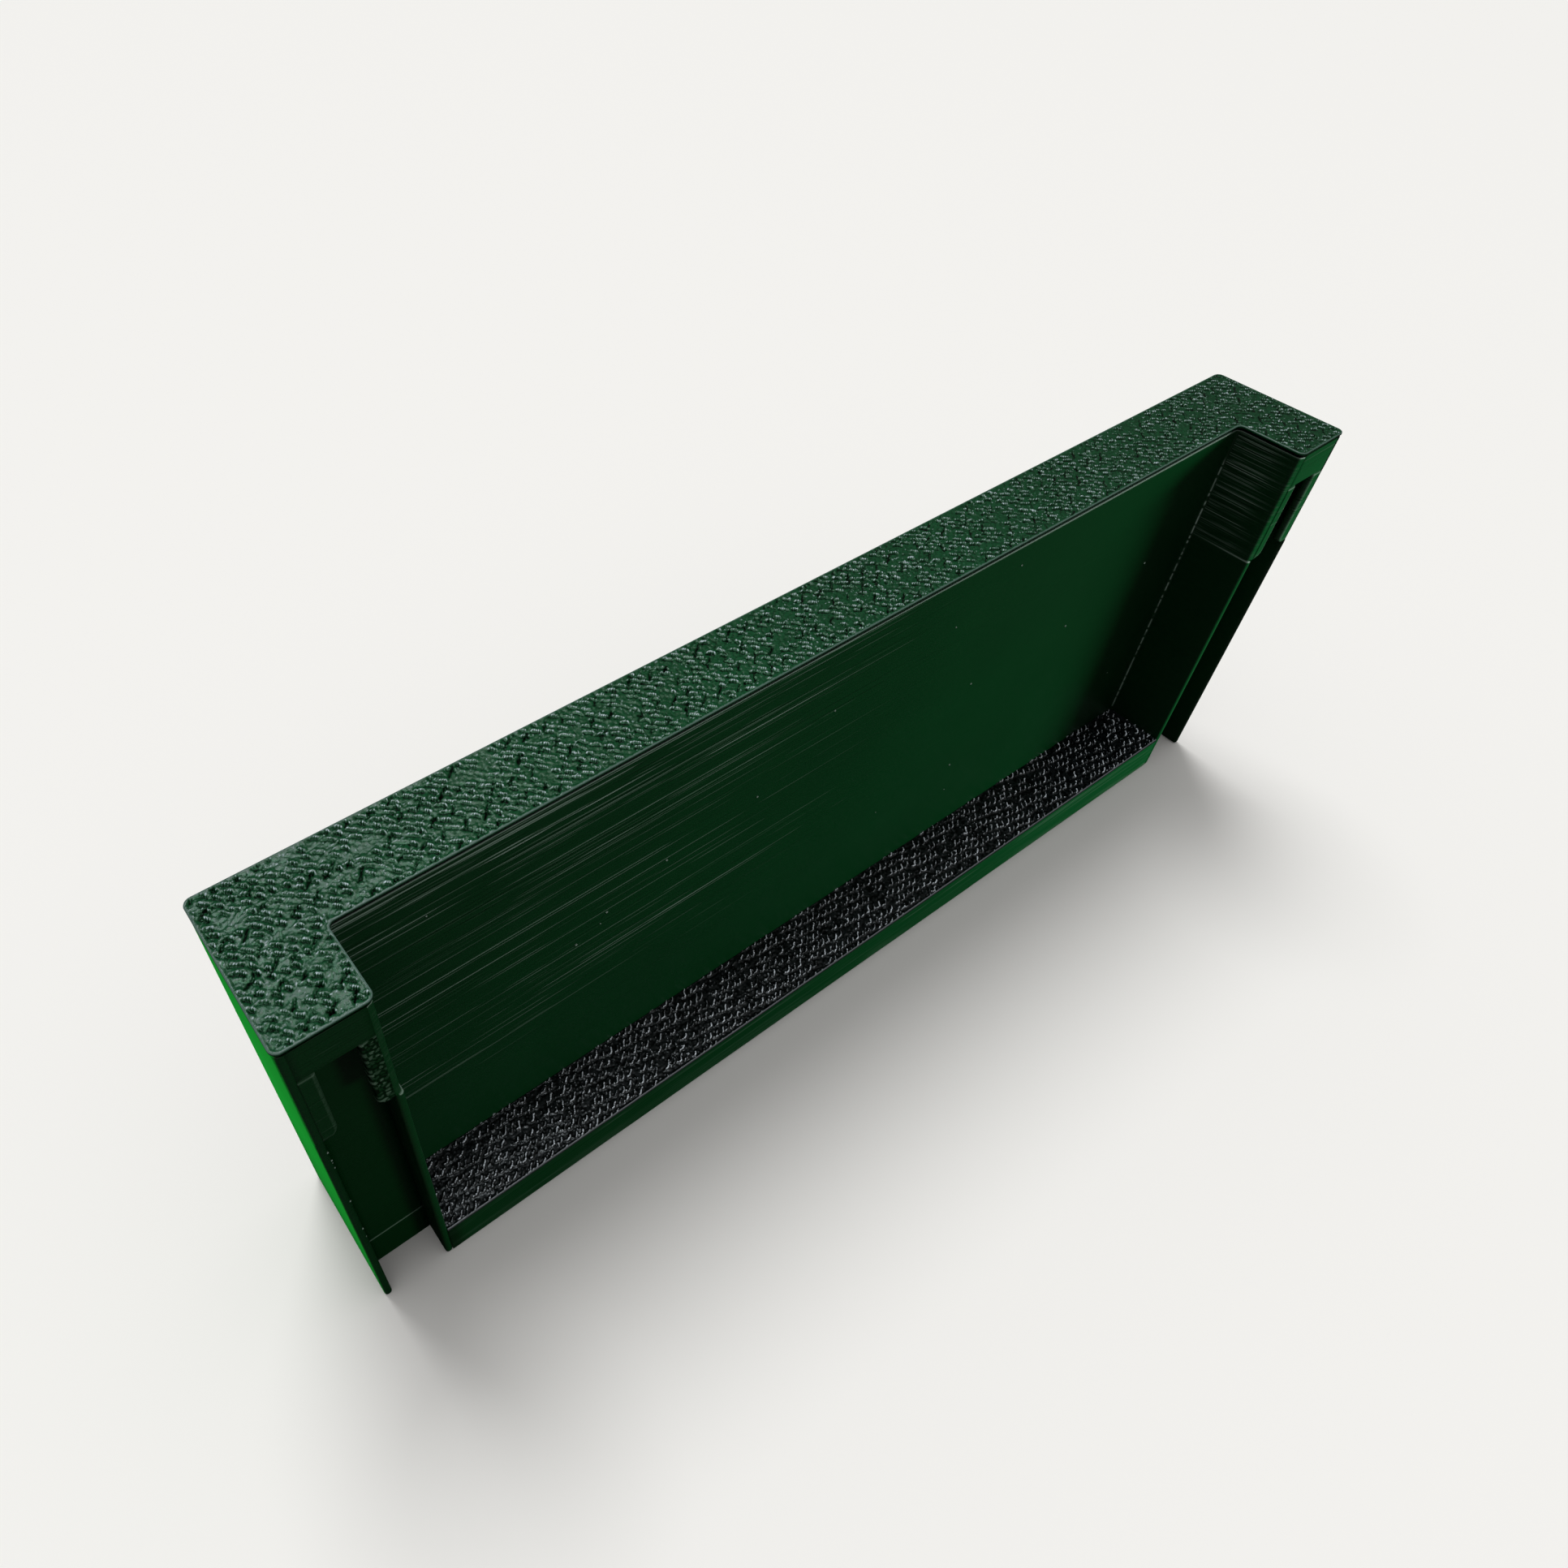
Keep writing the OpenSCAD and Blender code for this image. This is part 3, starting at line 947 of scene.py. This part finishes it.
# The walls. streaks says how much a wall's layers wander
wallLook = {
    "thickRadius": 0.8,  # corner radius beside the lips and the lintel
    "thinRadius": 0.50,  # corner radius where the wall stands alone
    "rearRadius": 1.1,  # corner radius at the back of the holder
    "ledge": 0.20,  # how far the pocket's end walls step in below the lips
    "ledgeDrop": 0.25,  # how far below the lips' ends the step is
    "blockLedge": 0.07,  # step in the channel's back at the level of the floor
    # strength of the painted line of light along the first layer
    "firstLayerHighlight": 0.28,
    "rearStreaks": 0.25,
    "outerStreaks": 0.12,
    "channelStreaks": 0.1,
    "lintelStreaks": 0.2,
}


def cornerRadii(rows):
    look = wallLook
    beside = smoothStep(lipZ - look["ledgeDrop"] - 0.12, lipZ - look["ledgeDrop"] + 0.12, rows)
    return look["thinRadius"] + (look["thickRadius"] - look["thinRadius"]) * beside


# The line of light along the first wall layer, which stands out past the groove under the plate
def firstLayerMark(x, y, z):
    return wallLook["firstLayerHighlight"] * smoothStep(wallTop - 0.28, wallTop - 0.15, z)


pocketLook = {
    "streaks": 0.50,
    "topStreaks": 0.28,  # more of them under the plate
    "fadeAlong": (40, -65),  # from where to where they grow, in x
    "fadeUp": (8, 46),  # and in z
}


# Layer lines on the pocket's back wall are plain at the upper left, and fade out to the right and down,
# least of all right under the plate
def backStrength(x, y, z):
    look = pocketLook
    wide = (0.06 + 0.94 * smoothStep(*look["fadeAlong"], x)) * (0.12 + 0.88 * smoothStep(*look["fadeUp"], z))
    top = smoothStep(50, -30, x) * smoothStep(wallTop - 16, wallTop - 4, z)
    return look["streaks"] * wide + look["topStreaks"] * top


# The seam where every layer of the pocket's wall starts: a jagged bulging line down the corner, with a
# painted highlight on it
def seamBulge(z):
    jag = smoothStep(0.20, 0.60, valueNoise(z / 0.55, 9.0, 52))
    return jag * (0.35 + 0.65 * valueNoise(z / 6, 2.0, 53)) * smoothStep(wallTop - 5, wallTop - 8, z)


def makePocketBack():
    rows = beadRows(0, wallTop)
    loop = joinLoop([
        corner((-pocketX, pocketY), (1, 0), (0, -1), 7, 1, hollow=True),
        run((-pocketX + 1.0, pocketY), (pocketX - 1.0, pocketY), 108, (0, -1), True),
        corner((pocketX, pocketY), (0, -1), (-1, 0), 7, 1, hollow=True),
        run((pocketX, pocketY), (pocketX, hollowY), 3, (1, 0), False, "end"),
        run((pocketX, hollowY), (-pocketX, hollowY), 3, (0, 1), False, "end"),
        run((-pocketX, hollowY), (-pocketX, pocketY), 3, (-1, 0), False, "none"),
    ])
    radius = np.full(len(rows), 0.45)
    makeWall("pocketBackWall", "pocket_back_wall", loop, rows, [radius], backStrength, foot=0.01,
             paintedHighlight=firstLayerMark, seam=seamBulge)


# Blobs that the nozzle left on the pocket's back wall, and along the front of one end wall
speckLook = {
    "smallest": 0.10,  # radius
    "largest": 0.22,
    # strength of the painted highlight on every blob
    "tone": 0.9,
}


# Small flattened balls at random places between two corners of a box. A ball's surface is its middle
# plus its radius times (cos a cos b, 0.7 sin b, sin a cos b)
def makeSpecks(name, node, low, high, count, seed):
    look = speckLook
    rng = np.random.default_rng(seed)
    middles = rng.uniform(low, high, (count, 3))
    radii = rng.uniform(look["smallest"], look["largest"], count)
    sides, rings = 8, 5
    around = np.arange(sides) * 2 * math.pi / sides
    a, b = np.meshgrid(around, np.linspace(-1.2, 1.2, rings), indexing="xy")
    ball = np.stack([np.cos(a) * np.cos(b), 0.7 * np.sin(b), np.sin(a) * np.cos(b)], -1).reshape(-1, 3)
    points = middles[:, None] + radii[:, None, None] * ball[None]
    skirt = np.array(skirtFaces(rings, sides))
    lid = np.arange(sides)
    last = sides * (rings - 1)
    faces = []
    for first in range(0, len(ball) * count, len(ball)):
        faces += (skirt + first).tolist()
        faces += [(lid + first).tolist(), (lid[::-1] + first + last).tolist()]
    # a painted highlight on every blob
    paintedShadingValues = np.full(len(ball) * count, look["tone"])
    makePiece(name, points.reshape(-1, 3), faces, layeredPlastic, node, paintedShadingValues)


def makeBackPanel():
    rows = beadRows(0, wallTop)
    loop = joinLoop([
        run((outerFaceX, panelY), (outerFaceX, rearY), 2, (1, 0), False, "start"),
        run((outerFaceX, rearY), (-outerFaceX, rearY), 110, (0, 1), True),
        run((-outerFaceX, rearY), (-outerFaceX, panelY), 2, (-1, 0), False, "end"),
        run((-outerFaceX, panelY), (outerFaceX, panelY), 4, (0, -1), False, "none"),
    ])
    makeWall("backPanel", "back_panel", loop, rows, [], wallLook["rearStreaks"])


innerLook = {
    "plainStreaks": 0.1,  # where the layer lines don't show
    "streaks": 0.5,
    # strength of the painted highlight along a full line
    "lineHighlight": 0.5,
    "lines": (0.35, 0.95),  # noise between which a layer's line goes from none to full
    "lineFade": (0.15, 0.60),  # and a line's stretches
    "fadeHeight": 50,  # the lines are faint below this, and full under the plate
}


# Layer lines on an end wall show on its pocket face, above the ledge, and most in the back and at the top
def innerShare(x, y, z):
    facesPocket = np.abs(np.abs(x) - pocketX) < 0.01
    back = 0.10 + 0.90 * smoothStep(frontY + 0.5, frontY + 6.5, y)
    top = 0.25 + 0.75 * smoothStep(innerLook["fadeHeight"], wallTop - 6, z)
    return facesPocket * back * smoothStep(lipZ - 1, lipZ + 1, z) * top


def innerStrength(x, y, z):
    return innerLook["plainStreaks"] + innerLook["streaks"] * innerShare(x, y, z)


# Painted highlights along the tops of some layers, added to the first layer's line of light
def innerHighlight(x, y, z):
    look = innerLook
    layer = np.floor((topZ - z) / layerLook["height"])
    line = smoothStep(*look["lines"], valueNoise(layer, 5.0, 54))
    fade = smoothStep(*look["lineFade"], valueNoise(layer, y / 5, 55))
    top = np.abs((topZ - z) / layerLook["height"] - layer) < 0.1
    return firstLayerMark(x, y, z) + look["lineHighlight"] * top * line * fade * innerShare(x, y, z)


# The pocket face of an end wall is set back above the lips' ends, so a ledge shows there, widest in front
def pocketStep(x, y, z):
    look = wallLook
    above = smoothStep(lipZ - look["ledgeDrop"] - 0.1, lipZ - look["ledgeDrop"] + 0.1, z)
    facesPocket = np.abs(np.abs(x) - pocketX) < 0.01
    return -look["ledge"] * above * facesPocket * (0.35 + 0.65 * smoothStep(pocketY, frontY, y))


def makeInnerWall(side):
    rows = beadRows(0, wallTop)
    arcEnd = wallLook["thickRadius"] + 0.03
    loop = joinLoop([
        run((innerFaceX, hollowY), (innerFaceX, channelY), 3, (1, 0), False, "start"),
        run((innerFaceX, channelY), (innerFaceX, frontY + 0.6), 5, (1, 0), True),
        corner((innerFaceX, frontY), (1, 0), (0, -1), 5, 2),
        corner((pocketX, frontY), (0, -1), (-1, 0), 7, 1),
        run((pocketX, frontY + arcEnd), (pocketX, pocketY), 12, (-1, 0), True, "end"),
        run((pocketX, pocketY), (pocketX, hollowY), 3, (-1, 0), False, "end"),
    ])
    # drawn with the wall on the left of its path: turn it round to run anticlockwise
    loop = {k: v[::-1] for k, v in loop.items()}
    radii = [cornerRadii(rows), np.where(rows < lipZ, 0.45, 0.02)]
    if side < 0:
        loop = mirrored(loop)
    label = "left" if side < 0 else "right"
    makeWall(label + "InnerWall", label + "_inner_wall", loop, rows, radii, innerStrength, foot=0.6,
             shape=pocketStep, paintedHighlight=innerHighlight)


def makeOuterWall(side):
    rows = beadRows(0, wallTop)
    arcEnd, rearRadius = wallLook["thickRadius"] + 0.03, wallLook["rearRadius"]
    loop = joinLoop([
        run((outerFaceX, rearY), (outerFaceX, channelY), 6, (-1, 0), False, "start"),
        run((outerFaceX, channelY), (outerFaceX, frontY + 0.6), 5, (-1, 0), True),
        corner((outerFaceX, frontY), (-1, 0), (0, -1), 5, 2),
        corner((endX, frontY), (0, -1), (1, 0), 7, 1),
        run((endX, frontY + arcEnd), (endX, rearY - rearRadius - 0.1), 20, (1, 0), True),
        corner((endX, rearY), (1, 0), (0, 1), 6, 3),
    ])
    radii = [cornerRadii(rows), np.where(rows < lipZ, 0.45, 0.02), np.full(len(rows), rearRadius)]
    if side < 0:
        loop = mirrored(loop)
    label = "left" if side < 0 else "right"
    makeWall(label + "OuterWall", label + "_outer_wall", loop, rows, radii, wallLook["outerStreaks"],
             foot=0.5)


# The channel's back is set back above the floor block, and a line of light runs along that step
def channelMark(x, y, z):
    return 0.2 * np.exp(-((z - floorZ - 0.2) / 0.12) ** 2)


def channelStep(x, y, z):
    return wallLook["blockLedge"] * smoothStep(floorZ + 0.3, floorZ + 0.1, z)


def makeChannelBack(side):
    rows = beadRows(0, wallTop)
    loop = joinLoop([
        run((innerFaceX, channelY), (outerFaceX, channelY), 9, (0, -1), True),
        run((outerFaceX, channelY), (outerFaceX, hollowY), 3, (1, 0), False, "end"),
        run((outerFaceX, hollowY), (innerFaceX, hollowY), 3, (0, 1), False, "end"),
        run((innerFaceX, hollowY), (innerFaceX, channelY), 3, (-1, 0), False, "none"),
    ])
    if side < 0:
        loop = mirrored(loop)
    label = "left" if side < 0 else "right"
    makeWall(label + "ChannelBack", label + "_channel_back", loop, rows, [], wallLook["channelStreaks"],
             foot=0.3, shape=channelStep, paintedHighlight=channelMark)


def makeLintel(side):
    rows = beadRows(lintelZ, wallTop)
    loop = joinLoop([
        run((innerFaceX, frontY), (outerFaceX, frontY), 9, (0, -1), True),
        run((outerFaceX, frontY), (outerFaceX, channelY), 3, (1, 0), False, "end"),
        run((outerFaceX, channelY), (innerFaceX, channelY), 3, (0, 1), False, "end"),
        run((innerFaceX, channelY), (innerFaceX, frontY), 3, (-1, 0), False, "none"),
    ])
    if side < 0:
        loop = mirrored(loop)
    label = "left" if side < 0 else "right"
    makeWall(label + "Lintel", label + "_lintel", loop, rows, [], wallLook["lintelStreaks"], foot=0.12)


makePocketBack()
makeSpecks("wallSpecks", "pocket_back_wall", (-0.9 * pocketX, pocketY, floorZ + 4),
           (0.9 * pocketX, pocketY, wallTop - 4), 16, 61)
makeSpecks("edgeSpecks", "left_outer_wall", (-outerFaceX - 0.15, frontY + 0.10, lipZ - 32),
           (-outerFaceX - 0.05, frontY + 0.20, lipZ - 1), 7, 62)
makeBackPanel()
for side in (-1, 1):
    makeInnerWall(side)
    makeOuterWall(side)
    makeChannelBack(side)
    makeLintel(side)
print("walls made")


# The lips
lipLook = {
    "proud": 0.10,  # how far the lip's pad stands in front of the wall
    "frontRadius": 0.35,
    "cornerRadius": 1.5,
    "scar": 0.28,  # roughness that a torn-off support left on one lip
    # the next two are strengths of painted highlights: on the scar's pebbles, and along the lip's bottom edge
    # and corner
    "scarHighlight": 0.16,
    "lipEdgeHighlight": 0.04,
    "streaks": 0.25,
}


# A lip: from the wall it grows on, its free end rounded back at the bottom. u runs along the reach
def makeLip(label, wallX, reach, rough):
    look = lipLook
    rows = beadRows(lipZ, lintelZ)
    loop = joinLoop([
        run((0, frontY), (abs(reach) - 0.5, frontY), 9, (0, -1), True),
        corner((abs(reach), frontY), (0, -1), (1, 0), 5, 1),
        run((abs(reach), frontY + 0.5), (abs(reach), lipBackY), 3, (1, 0), True, "end"),
        run((abs(reach), lipBackY), (0, lipBackY), 4, (0, 1), False, "end"),
    ])
    x, y = loop["base"][:, 0], loop["base"][:, 1]
    pull = edgePull(rows - lipZ, look["cornerRadius"])
    share = np.clip(x / abs(reach), 0, 1)
    out = layerOffset(rows, x + wallX, y, look["streaks"])
    middle = smoothStep(0, 0.5, rows - lipZ) * smoothStep(0, 0.5, lintelZ - rows)
    out = out + look["proud"] * middle[:, None]
    tone = paintedLedgeShading(out)
    # painted highlights along the pad's bottom edge and its rounded corner
    if not rough:
        edge = np.exp(-((rows - lipZ - 0.4) / 0.25) ** 2)
        tone = tone + look["lipEdgeHighlight"] * (edge[:, None] + loop["which"][None, :])
    if rough:
        zz, xx = np.meshgrid(rows, x, indexing="ij")
        first, second, owner = pebbles(xx / 0.9 + 3, zz / 0.8, 1.0, 41)
        edge = smoothStep(0.0, 0.3, second - first)
        out = out + look["scar"] * (owner - 0.55) * edge
        # painted highlights on the scar's pebbles, and painted shade between them
        tone = tone + look["scarHighlight"] * owner * edge - 0.6 * (1 - edge)
    out = out * loop["seen"][None, :]
    flat = (loop["base"] + look["frontRadius"] * loop["arc"])[None] + out[..., None] * loop["normal"][None]
    flat[..., 0] = wallX + np.sign(reach) * (flat[..., 0] - share[None, :] * pull[:, None])
    points = np.concatenate([flat, np.broadcast_to(rows[:, None, None], (len(rows), len(x), 1))], -1)
    if reach < 0:
        points, tone = points[:, ::-1], tone[:, ::-1]
    faces = skirtFaces(len(rows), len(x))
    faces += capFaces(points[0], 0, True) + capFaces(points[-1], len(x) * (len(rows) - 1), False)
    name = label.split("_")
    makePiece(name[0] + "".join(w.capitalize() for w in name[1:]), points.reshape(-1, 3), faces,
              layeredPlastic, label, tone)


lipReach = lipHigh[0] - innerFaceX
makeLip("left_outer_lip", -outerFaceX, lipReach, False)
makeLip("left_inner_lip", -innerFaceX, -lipReach, True)
makeLip("right_outer_lip", outerFaceX, -lipReach, False)
makeLip("right_inner_lip", innerFaceX, lipReach, False)
print("lips made")

for name, look in softboxes.items():
    makeSoftbox(name + "Softbox", look)

# The hidden nodes keep their CAD shapes
for node in ("base_plate", "zigzag_web"):
    mesh = frame["nodes"][node].data
    mesh.materials.clear()
    mesh.materials.append(innerPlastic)
